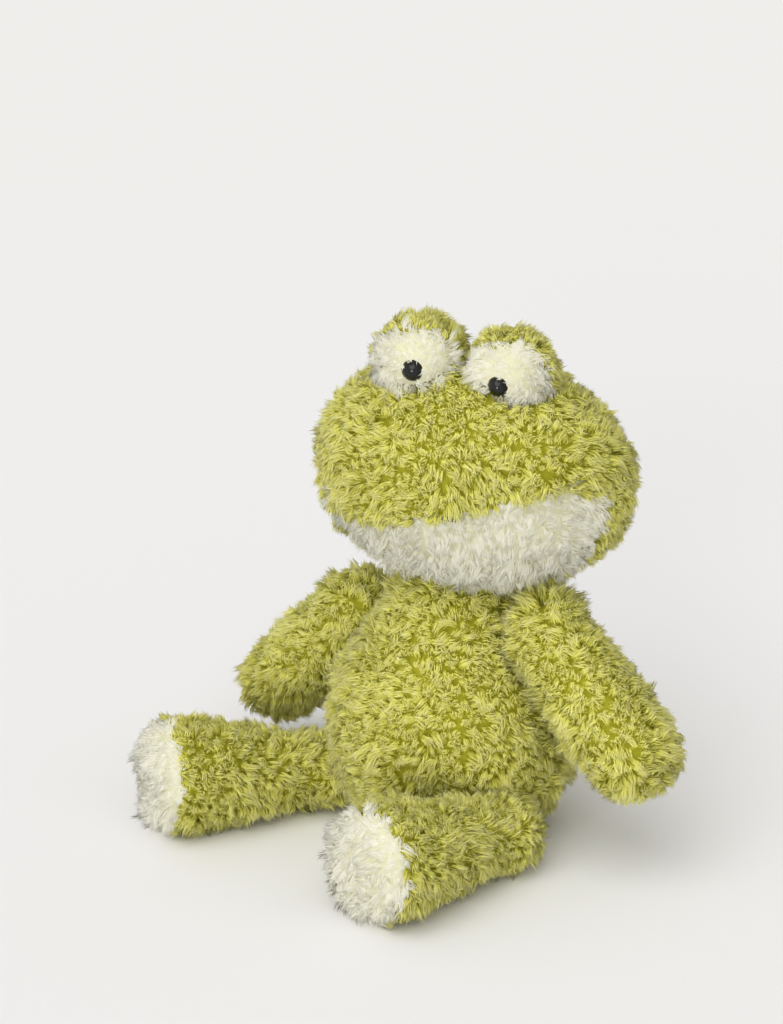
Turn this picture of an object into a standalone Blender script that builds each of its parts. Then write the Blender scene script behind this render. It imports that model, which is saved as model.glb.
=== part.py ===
"""A seated plush frog: fur cloth panels sewn round fibre stuffing, with a weighted seat.

The frog faces -Y and sits on the floor at z = 0, with the origin under the middle of its seat.
Its left side is +X. The head, arms and legs are sewn on, and each turns about a round joint:
a ball-shaped end lies in a shallow round seat, with rings of sewing thread between the two.
Every panel is a thick skin of backing cloth and pile, and the stuffing fills what it encloses.
Angles are in degrees.
"""

import math
from collections import namedtuple

import bmesh
import bpy
from mathutils import Matrix, Vector

MM = 0.001

# Cloth, seams and clearances
SKIN = 7.0 * MM
SEAM_GAP = 0.3 * MM
THREAD_RADIUS = 0.5 * MM
FLOOR_CUT = 0.5 * MM
FACET_ROOM = 0.9 * MM
# A joint's seat is wider than its ball by room for a ring of thread with a gap on both sides.
JOINT_ROOM = 2 * THREAD_RADIUS + 2 * SEAM_GAP + FACET_ROOM
# Cutting blocks reach this far, which is past the whole toy.
FAR = 300.0 * MM

# Torso: a round belly and a smaller neck dome on one axis, joined by the cone that touches both
BELLY_RADIUS = 50.5 * MM
BELLY_HEIGHT = 45.0 * MM
BELLY_DEPTH_SHARE = 0.95
BELLY_FORWARD = 3.0 * MM
SEAT_SQUARENESS = 3.4
NECK_DOME_RADIUS = 32.5 * MM
NECK_DOME_HEIGHT = 79.1 * MM
SIDE_SEAM_BACK = 6.0 * MM
TORSO_SIDES = 20
TORSO_SEAT_RINGS = 5
TORSO_BELLY_RINGS = 3
TORSO_DOME_RINGS = 4

# Head: an oval wider than it is tall, pressed onto the neck dome
HEAD_HALF_WIDTH = 64.5 * MM
HEAD_HALF_DEPTH = 43.0 * MM
HEAD_HALF_HEIGHT = 47.0 * MM
CROWN_SQUARENESS = 1.95
JAW_SQUARENESS = 2.4
NECK_SINK = 4.4 * MM
HEAD_TURN_AT_REST = 20.0
HEAD_TILT_AT_REST = 5.5
CHEEK_SEAM_FORWARD = 16.5 * MM
HEAD_SIDES = 24
HEAD_RINGS = 10
NECK_SEAT_RINGS = 10

# Mouth: the seam between face and jaw, with one thick stitch at its middle
MOUTH_DROP = 8.5 * MM
MOUTH_SLOPE = 11.5
MOUTH_TILT = 17.5
STITCH_HALF_LENGTH = 3.0 * MM
STITCH_RADIUS = 0.8 * MM
STITCH_SIDES = 8

# Eye mounds on top of the head: a green hood behind and a cream front
EYE_RADIUS = 20.0 * MM
EYE_SPREAD = 18.0 * MM
EYE_ASIDE = -6.5 * MM
EYE_FORWARD = 8.0 * MM
EYE_LIFT = 42.0 * MM
EYE_SEAM_FORWARD = 4.0 * MM
EYE_GAZE_DROP = 14.0
EYE_SIDES = 14
EYE_RINGS = 8

# Button eyes: a dome on a shank, held behind the cloth by a washer
BUTTON_RADIUS = 4.6 * MM
BUTTON_DOME = 2.6 * MM
BUTTON_RIM = 0.8 * MM
BUTTON_SINK = 1.2 * MM
BUTTON_ASIDE_ANGLE = {"left": -8.0, "right": -2.0}
BUTTON_RISE_ANGLE = {"left": -1.0, "right": 2.0}
SHANK_RADIUS = 1.3 * MM
SHANK_TAIL = 1.6 * MM
WASHER_RADIUS = 3.2 * MM
WASHER_THICKNESS = 1.0 * MM
BUTTON_SIDES = 16
BUTTON_DOME_RINGS = 4

# Arms: a round root, a slim upper arm and a wide mitten of a hand
ARM_ROOT_RADIUS = 18.0 * MM
ARM_WAIST_ANGLE = 78.0
ARM_LENGTH = 74.5 * MM
HAND_HALF_WIDTH = 22.5 * MM
HAND_HALF_THICKNESS = 18.0 * MM
HAND_SQUARENESS = 2.3
# A shoulder's height is given from the middle of the neck dome.
LEFT_SHOULDER_RISE = 4.4 * MM
RIGHT_SHOULDER_RISE = -10.0 * MM
SHOULDER_TURN = {"left": 86.0, "right": -102.0}
SHOULDER_SINK = 5.0 * MM
ARM_OUT_AT_REST = {"left": 46.0, "right": 45.0}
ARM_FORWARD_AT_REST = {"left": 3.0, "right": -3.0}

# Legs: a round root that swells to a wide flat foot with a round sole
LEG_ROOT_RADIUS = 16.5 * MM
LEG_WAIST_ANGLE = 70.0
LEG_LENGTH = 77.5 * MM
FOOT_RADIUS = 24.0 * MM
FOOT_EDGE = 12.0 * MM
FOOT_SQUARENESS = 3.2
SOLE_DEPTH = 8.5 * MM
LEFT_HIP_SPREAD = 44.0 * MM
RIGHT_HIP_SPREAD = 50.0 * MM
HIP_HEIGHT = 19.0 * MM
HIP_SINK = 9.0 * MM
LEG_TURN_AT_REST = {"left": -15.0, "right": -35.0}

# Limbs of either kind
LIMB_SIDES = 12
LIMB_ROOT_RINGS = 3
LIMB_BODY_RINGS = 3
LIMB_END_RINGS = 4

# Root balls. A ball stands a little proud of the round end that its limb is drawn with.
BALL_PROUD = 0.6 * MM
BALL_SIDES = 12
BALL_RINGS = 6

# Seat pouch of pellets
POUCH_RADIUS = 27.0 * MM
POUCH_EDGE = 14.0 * MM
POUCH_TOP = 25.0 * MM
POUCH_SIDES = 16
POUCH_RINGS = 5

# Ladder stitch that closes the back
CLOSING_LOW = 30.0 * MM
CLOSING_HIGH = 62.0 * MM
CLOSING_STEP = 4.0 * MM
CLOSING_HALF_WIDTH = 1.6 * MM
CLOSING_WELD_SHARE = 0.01

# Rings of thread at the joints, each at an angle from its joint's pole
NECK_RING_ANGLE = 26.0
NECK_TIE_ANGLE = 9.0
LIMB_RING_ANGLE = 38.0
RING_SIDES = 16
RING_WIRE_SIDES = 5

# Steps that bring a hip to its wanted spread, each much finer than the last
HIP_SEARCH_STEPS = 30

SIGN_OF_SIDE = {"left": 1, "right": -1}
SHOULDER_RISE = {"left": LEFT_SHOULDER_RISE, "right": RIGHT_SHOULDER_RISE}
HIP_SPREAD = {"left": LEFT_HIP_SPREAD, "right": -RIGHT_HIP_SPREAD}
X_AXIS = Vector((1, 0, 0))
Y_AXIS = Vector((0, 1, 0))
Z_AXIS = Vector((0, 0, 1))

Look = namedtuple("Look", "name colour roughness metallic")
GREEN_FUR = Look("green_fur", (0.62, 0.66, 0.16, 1), 0.9, 0.0)
CREAM_FUR = Look("cream_fur", (0.86, 0.85, 0.70, 1), 0.9, 0.0)
BLACK_BUTTON = Look("black_button", (0.01, 0.01, 0.012, 1), 0.2, 0.0)
DARK_THREAD = Look("dark_thread", (0.05, 0.06, 0.09, 1), 0.8, 0.0)
GREEN_THREAD = Look("green_thread", (0.45, 0.50, 0.12, 1), 0.8, 0.0)
FIBRE = Look("stuffing", (0.92, 0.92, 0.90, 1), 0.95, 0.0)
POUCH_CLOTH = Look("pouch_cloth", (0.80, 0.78, 0.72, 1), 0.85, 0.0)
WHITE_PLASTIC = Look("white_plastic", (0.85, 0.85, 0.83, 1), 0.4, 0.0)


def swelling_early(share):
    """How far an arm has swollen from its waist to its hand, at a share of the way."""
    return math.sin(math.pi / 2 * share)


def swelling_midway(share):
    """How far a leg has swollen from its waist to its foot, at a share of the way."""
    return share * share * (3 - 2 * share)


Limb = namedtuple(
    "Limb",
    "root waist_angle length half_width half_thickness round_from squareness swell sink joint panels",
)
LIMBS = {
    "arm": Limb(
        ARM_ROOT_RADIUS, ARM_WAIST_ANGLE, ARM_LENGTH, HAND_HALF_WIDTH, HAND_HALF_THICKNESS,
        ARM_LENGTH - HAND_HALF_WIDTH, HAND_SQUARENESS, swelling_early, SHOULDER_SINK, "shoulder",
        ("front", "back"),
    ),
    "leg": Limb(
        LEG_ROOT_RADIUS, LEG_WAIST_ANGLE, LEG_LENGTH, FOOT_RADIUS, FOOT_RADIUS,
        LEG_LENGTH - FOOT_EDGE, FOOT_SQUARENESS, swelling_midway, HIP_SINK, "hip",
        ("upper", "lower"),
    ),
}


# Objects and their looks

def clear_scene():
    for obj in list(bpy.data.objects):
        bpy.data.objects.remove(obj)


def material(look):
    found = bpy.data.materials.get(look.name)
    if found:
        return found
    made = bpy.data.materials.new(look.name)
    made.use_nodes = True
    shader = made.node_tree.nodes["Principled BSDF"]
    shader.inputs["Base Color"].default_value = look.colour
    shader.inputs["Roughness"].default_value = look.roughness
    shader.inputs["Metallic"].default_value = look.metallic
    made.diffuse_color = look.colour
    return made


def add_object(name, bm, look=None, parent=None):
    """Turns a bmesh into an object, shaded smooth, placed by its parent."""
    mesh = bpy.data.meshes.new(name)
    bm.to_mesh(mesh)
    bm.free()
    mesh.shade_smooth()
    obj = bpy.data.objects.new(name, mesh)
    bpy.context.scene.collection.objects.link(obj)
    if look:
        mesh.materials.append(material(look))
    obj.parent = parent
    return obj


def add_pivot(name, matrix, parent=None):
    empty = bpy.data.objects.new(name, None)
    bpy.context.scene.collection.objects.link(empty)
    empty.parent = parent
    empty.matrix_basis = matrix
    return empty


def helper(obj):
    """Marks an object as a cutter, which is no piece of the toy."""
    obj.hide_render = True
    obj.display_type = "WIRE"
    return obj


def boolean(obj, cutter, operation="DIFFERENCE"):
    made = obj.modifiers.new(f"{operation.lower()} {cutter.name}", "BOOLEAN")
    made.operation = operation
    made.solver = "EXACT"
    made.object = cutter
    return obj


def cut_by(obj, keeps=(), cuts=()):
    """Keeps what lies inside every one of some spaces and outside every one of some cutters."""
    for space in keeps:
        boolean(obj, space, "INTERSECT")
    for cutter in cuts:
        boolean(obj, cutter)
    return obj


def frame_towards(direction, hint):
    """A rotation whose Z is along direction and whose X is as near hint as it can be."""
    z = Vector(direction).normalized()
    x = (Vector(hint) - z * z.dot(Vector(hint))).normalized()
    return Matrix((x, z.cross(x), z)).transposed().to_4x4()


# Bodies drawn through rings. A station is (centre, side half-axis, up half-axis).

def pole(height, forward=0.0):
    return Vector((0, -forward, height)), Vector((0, 0, 0)), Vector((0, 0, 0))


def round_station(height, radius, depth_share=1.0, forward=0.0):
    return Vector((0, -forward, height)), X_AXIS * radius, Y_AXIS * (radius * depth_share)


def ring_at(bm, station, sides):
    """The corners of one ring, or the one corner of a pole."""
    centre, across, up = station
    if across.length == 0:
        return [bm.verts.new(centre)]
    ring = []
    for k in range(sides):
        angle = 2 * math.pi * k / sides
        ring.append(bm.verts.new(centre + across * math.cos(angle) + up * math.sin(angle)))
    return ring


def loft_into(bm, stations, sides, inward=False):
    """Adds a closed surface through rings, facing out, or facing in."""
    rings = [ring_at(bm, station, sides) for station in stations]
    for low, high in zip(rings, rings[1:]):
        for k in range(sides):
            after = (k + 1) % sides
            here = [low[k % len(low)], low[after % len(low)]]
            there = [high[after % len(high)], high[k % len(high)]]
            corners = list(dict.fromkeys(here + there))
            bm.faces.new(corners[::-1] if inward else corners)


def lofted(stations, sides):
    bm = bmesh.new()
    loft_into(bm, stations, sides)
    return bm


def shell(stations_at, sides):
    """A skin: the outer surface, and the same surface one skin further in, facing inwards."""
    bm = bmesh.new()
    loft_into(bm, stations_at(0), sides)
    loft_into(bm, stations_at(-SKIN), sides, inward=True)
    return bm


def oval_stations(half_width, half_depth, half_height, rings, squareness=(2.0, 2.0)):
    """An oval body about the origin, lowest point first. Squareness is below and above its middle."""
    made = [pole(-half_height)]
    for k in range(1, rings):
        angle = math.pi * k / rings - math.pi / 2
        power = 2.0 / squareness[0 if angle < 0 else 1]
        height = math.copysign(abs(math.sin(angle)) ** power, angle) * half_height
        reach = math.cos(angle) ** power
        made.append((Z_AXIS * height, X_AXIS * (half_width * reach), Y_AXIS * (half_depth * reach)))
    made.append(pole(half_height))
    return made


def ball_stations(radius, rings=BALL_RINGS):
    return oval_stations(radius, radius, radius, rings)


def rod_stations(radius, low, high):
    return [pole(low), round_station(low, radius), round_station(high, radius), pole(high)]


def section_at(stations, height):
    """The centre, half-width and half-depth of a body at a height, and how fast it widens there."""
    for low, high in zip(stations, stations[1:]):
        if low[0].z <= height <= high[0].z:
            break
    rise = high[0].z - low[0].z
    share = (height - low[0].z) / rise
    wide = low[1].length + (high[1].length - low[1].length) * share
    deep = low[2].length + (high[2].length - low[2].length) * share
    return low[0].lerp(high[0], share), wide, deep, (high[1].length - low[1].length) / rise


# Cutters

def ball_cutter(name, radius, parent, sides=BALL_SIDES, rings=BALL_RINGS):
    return helper(add_object(name, lofted(ball_stations(radius, rings), sides), None, parent))


def rod_cutter(name, radius, low, high, parent):
    return helper(add_object(name, lofted(rod_stations(radius, low, high), BUTTON_SIDES), None, parent))


def half_space(name, plane_point, normal, parent=None):
    """A large block whose one face lies on the plane and that fills the side the normal points to."""
    bm = bmesh.new()
    bmesh.ops.create_cube(bm, size=2 * FAR)
    obj = add_object(name, bm, None, parent)
    turn = Vector(normal).to_track_quat("Z", "Y").to_matrix().to_4x4()
    obj.matrix_basis = Matrix.Translation(Vector(plane_point)) @ turn @ Matrix.Translation(Z_AXIS * FAR)
    return helper(obj)


def block(name, low, high):
    """A box from its low corner to its high corner."""
    low = Vector(low)
    high = Vector(high)
    place = Matrix.Translation((low + high) / 2) @ Matrix.Diagonal((*(high - low), 1))
    bm = bmesh.new()
    bmesh.ops.create_cube(bm, size=1, matrix=place)
    return helper(add_object(name, bm))


# Torso

def torso_profile(outset):
    """Heights and radii from the seat's edge up to just below the top of the neck dome."""
    belly = BELLY_RADIUS + outset
    dome = NECK_DOME_RADIUS + outset
    drop = BELLY_HEIGHT + FLOOR_CUT + outset
    slope = math.asin((BELLY_RADIUS - NECK_DOME_RADIUS) / (NECK_DOME_HEIGHT - BELLY_HEIGHT))
    power = 2.0 / SEAT_SQUARENESS
    profile = []
    for k in range(1, TORSO_SEAT_RINGS):
        angle = math.pi / 2 * (k / TORSO_SEAT_RINGS - 1)
        height = BELLY_HEIGHT - drop * (-math.sin(angle)) ** power
        profile.append((height, belly * math.cos(angle) ** power))
    for k in range(TORSO_BELLY_RINGS + 1):
        angle = slope * k / TORSO_BELLY_RINGS
        profile.append((BELLY_HEIGHT + belly * math.sin(angle), belly * math.cos(angle)))
    for k in range(TORSO_DOME_RINGS):
        angle = slope + (math.pi / 2 - slope) * k / TORSO_DOME_RINGS
        profile.append((NECK_DOME_HEIGHT + dome * math.sin(angle), dome * math.cos(angle)))
    return profile, NECK_DOME_HEIGHT + dome * math.sin(slope)


def torso_stations(outset):
    """The torso's rings, grown by outset: an oval at the belly that is round from the neck dome up."""
    profile, round_from = torso_profile(outset)
    made = [pole(-FLOOR_CUT - outset, BELLY_FORWARD)]
    for height, radius in profile:
        roundness = min(1.0, max(0.0, (height - BELLY_HEIGHT) / (round_from - BELLY_HEIGHT)))
        depth_share = BELLY_DEPTH_SHARE + (1 - BELLY_DEPTH_SHARE) * roundness
        made.append(round_station(height, radius, depth_share, BELLY_FORWARD * (1 - roundness)))
    made.append(pole(NECK_DOME_HEIGHT + NECK_DOME_RADIUS + outset))
    return made


def surface_of_torso(height, turn):
    """The point and outward direction on the torso at a height, turn radians from -Y towards +X."""
    centre, wide, deep, widening = section_at(torso_stations(0), height)
    point = centre + Vector((math.sin(turn) * wide, -math.cos(turn) * deep, 0))
    level = Vector((math.sin(turn) / wide, -math.cos(turn) / deep, 0)).normalized()
    return point, (level - Z_AXIS * widening).normalized()


def torso_quarters():
    """The spaces of the front panel and the two back panels, apart by the seams between them."""
    half_gap = SEAM_GAP / 2
    behind = SIDE_SEAM_BACK + half_gap
    return {
        "front": block("front_of_side_seam", (-FAR, -FAR, 0), (FAR, SIDE_SEAM_BACK - half_gap, FAR)),
        "back_left": block("left_of_back_seam", (half_gap, behind, 0), (FAR, FAR, FAR)),
        "back_right": block("right_of_back_seam", (-FAR, behind, 0), (-half_gap, FAR, FAR)),
    }


def build_torso(pivots):
    seats = {}
    for limb in LIMBS.values():
        for side in SIGN_OF_SIDE:
            name = f"{limb.joint}_{side}"
            seats[name] = ball_cutter(f"{name}_seat", limb.root + JOINT_ROOM, pivots[name])
    for name, quarter in torso_quarters().items():
        panel = add_object(f"torso_{name}_panel", shell(torso_stations, TORSO_SIDES), GREEN_FUR)
        cut_by(panel, [quarter], seats.values())
    inside = -SKIN - SEAM_GAP
    groove = helper(closing_thread("closing_thread_groove", THREAD_RADIUS + SEAM_GAP, None))
    room = helper(add_object("pouch_room", lofted(pouch_stations(SEAM_GAP), POUCH_SIDES)))
    fibre = add_object("torso_stuffing", lofted(torso_stations(inside), TORSO_SIDES), FIBRE)
    cut_by(fibre, [], [groove, room, seats["hip_left"], seats["hip_right"]])
    within = helper(add_object("within_torso_skin", lofted(torso_stations(inside), TORSO_SIDES)))
    pouch = add_object("seat_pellet_pouch", lofted(pouch_stations(0), POUCH_SIDES), POUCH_CLOTH)
    cut_by(pouch, [within])
    closing_thread("back_closing_thread", THREAD_RADIUS, GREEN_THREAD)


def pouch_stations(outset):
    """A low dome of pellets over the seat, from the floor up, to be trimmed by what lies round it."""
    radius = POUCH_RADIUS + outset
    made = [pole(-outset, BELLY_FORWARD), round_station(-outset, radius, 1, BELLY_FORWARD)]
    for k in range(POUCH_RINGS):
        angle = math.pi / 2 * k / POUCH_RINGS
        rise = POUCH_EDGE + (POUCH_TOP - POUCH_EDGE + outset) * math.sin(angle)
        made.append(round_station(rise, radius * math.cos(angle), 1, BELLY_FORWARD))
    made.append(pole(POUCH_TOP + outset, BELLY_FORWARD))
    return made


def closing_route():
    """The zigzag of the ladder stitch, just inside the back panels."""
    inner = torso_stations(-SKIN)
    count = round((CLOSING_HIGH - CLOSING_LOW) / CLOSING_STEP)
    route = []
    for k in range(count + 1):
        height = CLOSING_LOW + (CLOSING_HIGH - CLOSING_LOW) * k / count
        centre, _, deep, _ = section_at(inner, height)
        side = CLOSING_HALF_WIDTH if k % 2 else -CLOSING_HALF_WIDTH
        route.append(Vector((side, centre.y + deep - THREAD_RADIUS - 2 * SEAM_GAP, height)))
    return route


def closing_thread(name, radius, look):
    """A thread of this radius along the ladder stitch's route."""
    route = closing_route()
    curve = bpy.data.curves.new(name, "CURVE")
    curve.dimensions = "3D"
    curve.bevel_depth = radius
    curve.bevel_resolution = 1
    curve.use_fill_caps = True
    spline = curve.splines.new("POLY")
    spline.points.add(len(route) - 1)
    for target, point in zip(spline.points, route):
        target.co = (*point, 1)
    drawn = bpy.data.objects.new(f"{name}_line", curve)
    bpy.context.scene.collection.objects.link(drawn)
    bpy.context.view_layer.update()
    mesh = bpy.data.meshes.new_from_object(drawn.evaluated_get(bpy.context.evaluated_depsgraph_get()))
    bpy.data.objects.remove(drawn)
    bm = bmesh.new()
    bm.from_mesh(mesh)
    bpy.data.meshes.remove(mesh)
    bmesh.ops.remove_doubles(bm, verts=bm.verts, dist=SEAM_GAP * CLOSING_WELD_SHARE)
    bmesh.ops.recalc_face_normals(bm, faces=bm.faces)
    return add_object(name, bm, look)


# Head

def head_stations(outset):
    return oval_stations(
        HEAD_HALF_WIDTH + outset,
        HEAD_HALF_DEPTH + outset,
        HEAD_HALF_HEIGHT + outset,
        HEAD_RINGS,
        (JAW_SQUARENESS, CROWN_SQUARENESS),
    )


def add_head_axis():
    """The middle of the head, turned and tilted about the neck as the frog holds it at rest."""
    lift = NECK_DOME_RADIUS - NECK_SINK + HEAD_HALF_HEIGHT
    turn = Matrix.Rotation(math.radians(HEAD_TURN_AT_REST), 4, "Z")
    tilt = Matrix.Rotation(math.radians(HEAD_TILT_AT_REST), 4, "Y")
    neck = Matrix.Translation(Z_AXIS * NECK_DOME_HEIGHT)
    return add_pivot("head_axis", neck @ turn @ tilt @ Matrix.Translation(Z_AXIS * lift))


def mouth_point():
    """The middle of the mouth, on the front of the head."""
    power = 2.0 / JAW_SQUARENESS
    angle = math.asin((MOUTH_DROP / HEAD_HALF_HEIGHT) ** (1 / power))
    return Vector((0, -HEAD_HALF_DEPTH * math.cos(angle) ** power, -MOUTH_DROP))


def mouth_halves(head):
    """The spaces above and below the mouth seam, which slopes down to the front and to one side."""
    slope = math.radians(MOUTH_SLOPE)
    tilt = math.radians(MOUTH_TILT)
    rising = Vector((-math.sin(tilt), -math.sin(slope), math.cos(slope))).normalized()
    off_seam = rising * (SEAM_GAP / 2)
    above = half_space("mouth_seam_above", mouth_point() + off_seam, rising, head)
    below = half_space("mouth_seam_below", mouth_point() - off_seam, -rising, head)
    return above, below


def mouth_stitch(name, outset, look, head):
    """The thick stitch along the mouth seam, grown by outset."""
    length = STITCH_HALF_LENGTH + outset
    bm = lofted(rod_stations(STITCH_RADIUS + outset, -length, length), STITCH_SIDES)
    place = Matrix.Translation(mouth_point()) @ Matrix.Rotation(math.pi / 2, 4, "Y")
    bmesh.ops.transform(bm, matrix=place, verts=bm.verts)
    return add_object(name, bm, look, head)


def build_head(pivots):
    """The head's panels, stitch and stuffing, and the eye mounds on it."""
    head = add_head_axis()
    neck_seat = ball_cutter(
        "neck_seat", NECK_DOME_RADIUS + JOINT_ROOM, pivots["neck"], TORSO_SIDES, NECK_SEAT_RINGS
    )
    half_gap = SEAM_GAP / 2
    front = half_space("cheek_seam_front", (0, -CHEEK_SEAM_FORWARD - half_gap, 0), -Y_AXIS, head)
    back = half_space("cheek_seam_back", (0, half_gap - CHEEK_SEAM_FORWARD, 0), Y_AXIS, head)
    above, below = mouth_halves(head)
    stitch_room = helper(mouth_stitch("mouth_stitch_room", SEAM_GAP, None, head))
    face = add_object("face_panel", shell(head_stations, HEAD_SIDES), GREEN_FUR, head)
    cut_by(face, [front, above], [stitch_room])
    jaw = add_object("jaw_panel", shell(head_stations, HEAD_SIDES), CREAM_FUR, head)
    cut_by(jaw, [front, below], [neck_seat, stitch_room])
    rear = add_object("head_back_panel", shell(head_stations, HEAD_SIDES), GREEN_FUR, head)
    cut_by(rear, [back], [neck_seat])
    add_object("head_stuffing", lofted(head_stations(-SKIN - SEAM_GAP), HEAD_SIDES), FIBRE, head)
    mouth_stitch("mouth_stitch", 0, DARK_THREAD, head)
    head_seat = helper(add_object("head_seat", lofted(head_stations(SEAM_GAP), HEAD_SIDES), None, head))
    for side, sign in SIGN_OF_SIDE.items():
        build_mound(side, sign, head, head_seat, face)


# Eyes

def eye_stations(outset):
    return ball_stations(EYE_RADIUS + outset, EYE_RINGS)


def button_stations(tail):
    """A domed button whose shank runs down -Z from a flat underside at z = 0, as long as its tail."""
    made = [pole(-tail), round_station(-tail, SHANK_RADIUS), round_station(0, SHANK_RADIUS)]
    made += [round_station(0, BUTTON_RADIUS), round_station(BUTTON_RIM, BUTTON_RADIUS)]
    for k in range(1, BUTTON_DOME_RINGS):
        angle = math.pi / 2 * k / BUTTON_DOME_RINGS
        height = BUTTON_RIM + BUTTON_DOME * math.sin(angle)
        made.append(round_station(height, BUTTON_RADIUS * math.cos(angle)))
    made.append(pole(BUTTON_RIM + BUTTON_DOME))
    return made


def button_seat():
    """How far the flat underside of a button lies from the middle of its mound."""
    return EYE_RADIUS - BUTTON_SINK - BUTTON_DOME - BUTTON_RIM


def washer_levels():
    """The low and high faces of a washer, from the button's underside. It lies just inside the cloth."""
    cloth = math.sqrt((EYE_RADIUS - SKIN) ** 2 - (WASHER_RADIUS + SEAM_GAP) ** 2)
    high = cloth - button_seat() - 2 * SEAM_GAP
    return high - WASHER_THICKNESS, high


def build_mound(side, sign, head, head_seat, face):
    """One mound: a green hood behind, a cream front, its stuffing, and its button."""
    place = Matrix.Translation((EYE_ASIDE + sign * EYE_SPREAD, -EYE_FORWARD, EYE_LIFT))
    gaze = frame_towards((0, -1, -math.tan(math.radians(EYE_GAZE_DROP))), X_AXIS)
    mound = add_pivot(f"eye_{side}_axis", place @ gaze, head)
    aside = math.sin(math.radians(BUTTON_ASIDE_ANGLE[side]))
    look = frame_towards((aside, -1, math.tan(math.radians(BUTTON_RISE_ANGLE[side]))), X_AXIS)
    under = Matrix.Translation(Z_AXIS * button_seat())
    socket = add_pivot(f"button_{side}_axis", place @ look @ under, head)
    half_gap = SEAM_GAP / 2
    before = half_space(f"eye_{side}_seam_front", (0, 0, EYE_SEAM_FORWARD + half_gap), Z_AXIS, mound)
    behind = half_space(f"eye_{side}_seam_back", (0, 0, EYE_SEAM_FORWARD - half_gap), -Z_AXIS, mound)
    own_side = half_space(
        f"eye_{side}_own_side", (EYE_ASIDE + sign * SEAM_GAP, 0, 0), (sign, 0, 0), head
    )
    recess, hole, pocket = button_cutters(side, socket)
    front = add_object(f"eye_{side}_white_panel", shell(eye_stations, EYE_SIDES), CREAM_FUR, mound)
    cut_by(front, [before, own_side], [head_seat, recess, hole])
    cut_by(face, [], [recess, hole, pocket])
    hood = add_object(f"eye_{side}_hood_panel", shell(eye_stations, EYE_SIDES), GREEN_FUR, mound)
    cut_by(hood, [behind, own_side], [head_seat])
    fibre = lofted(eye_stations(-SKIN - SEAM_GAP), EYE_SIDES)
    cut_by(add_object(f"eye_{side}_stuffing", fibre, FIBRE, mound), [], [head_seat, pocket])
    build_button(side, socket, hole)


def button_cutters(side, socket):
    """Room for the button's rim in the pile, for its shank in the cloth, and for its washer inside."""
    low = washer_levels()[0]
    recess = rod_cutter(f"button_{side}_recess", BUTTON_RADIUS + SEAM_GAP, -SEAM_GAP, EYE_RADIUS, socket)
    hole = rod_cutter(f"button_{side}_hole", SHANK_RADIUS + SEAM_GAP, -EYE_RADIUS, 0, socket)
    pocket = rod_cutter(
        f"washer_{side}_pocket", WASHER_RADIUS + SEAM_GAP, low - SHANK_TAIL - SEAM_GAP, 0, socket
    )
    return recess, hole, pocket


def build_button(side, socket, hole):
    low, high = washer_levels()
    button = lofted(button_stations(SHANK_TAIL - low), BUTTON_SIDES)
    add_object(f"eye_{side}_button", button, BLACK_BUTTON, socket)
    washer = lofted(rod_stations(WASHER_RADIUS, low, high), BUTTON_SIDES)
    cut_by(add_object(f"eye_{side}_washer", washer, WHITE_PLASTIC, socket), [], [hole])


# Limbs

def shoulder_place(side):
    """The shoulder ball's centre and the torso's outward direction there."""
    height = NECK_DOME_HEIGHT + SHOULDER_RISE[side]
    point, normal = surface_of_torso(height, math.radians(SHOULDER_TURN[side]))
    return point + normal * (ARM_ROOT_RADIUS - SHOULDER_SINK), normal


def hip_place(side):
    """The hip ball's centre and the torso's outward direction there, at the wanted spread."""
    out = LEG_ROOT_RADIUS - HIP_SINK
    turn = 0.0
    for _ in range(HIP_SEARCH_STEPS):
        point, normal = surface_of_torso(HIP_HEIGHT, turn)
        turn += (HIP_SPREAD[side] - (point + normal * out).x) / BELLY_RADIUS
    return point + normal * out, normal


def arm_direction(side, _place):
    out = math.radians(ARM_OUT_AT_REST[side])
    ahead = math.radians(ARM_FORWARD_AT_REST[side])
    down = math.cos(out)
    return Vector((SIGN_OF_SIDE[side] * math.sin(out), -down * math.sin(ahead), -down * math.cos(ahead)))


def leg_direction(side, place):
    """Out over the floor, at the slope that brings the foot's edge down to the floor."""
    turn = math.radians(LEG_TURN_AT_REST[side])
    rise = (FOOT_RADIUS - FLOOR_CUT - place.z) / (LEG_LENGTH - FOOT_EDGE)
    level = math.sqrt(1 - rise * rise)
    return Vector((math.sin(turn) * level, -math.cos(turn) * level, rise))


def build_joint_pivots():
    """Empties at the joints. A limb has one that points into the torso and one along the limb."""
    pivots = {"neck": add_pivot("neck_pivot", Matrix.Translation(Z_AXIS * NECK_DOME_HEIGHT))}
    for side in SIGN_OF_SIDE:
        place, normal = shoulder_place(side)
        centre = Matrix.Translation(place)
        pivots[f"shoulder_{side}"] = add_pivot(
            f"shoulder_{side}_pivot", centre @ frame_towards(-normal, Y_AXIS)
        )
        pivots[f"arm_{side}"] = add_pivot(
            f"arm_{side}_axis", centre @ frame_towards(arm_direction(side, place), Y_AXIS)
        )
        place, normal = hip_place(side)
        centre = Matrix.Translation(place)
        along = leg_direction(side, place)
        pivots[f"hip_{side}"] = add_pivot(f"hip_{side}_pivot", centre @ frame_towards(-normal, Z_AXIS))
        pivots[f"leg_{side}"] = add_pivot(
            f"leg_{side}_axis", centre @ frame_towards(along, Z_AXIS.cross(along))
        )
    return pivots


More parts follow.
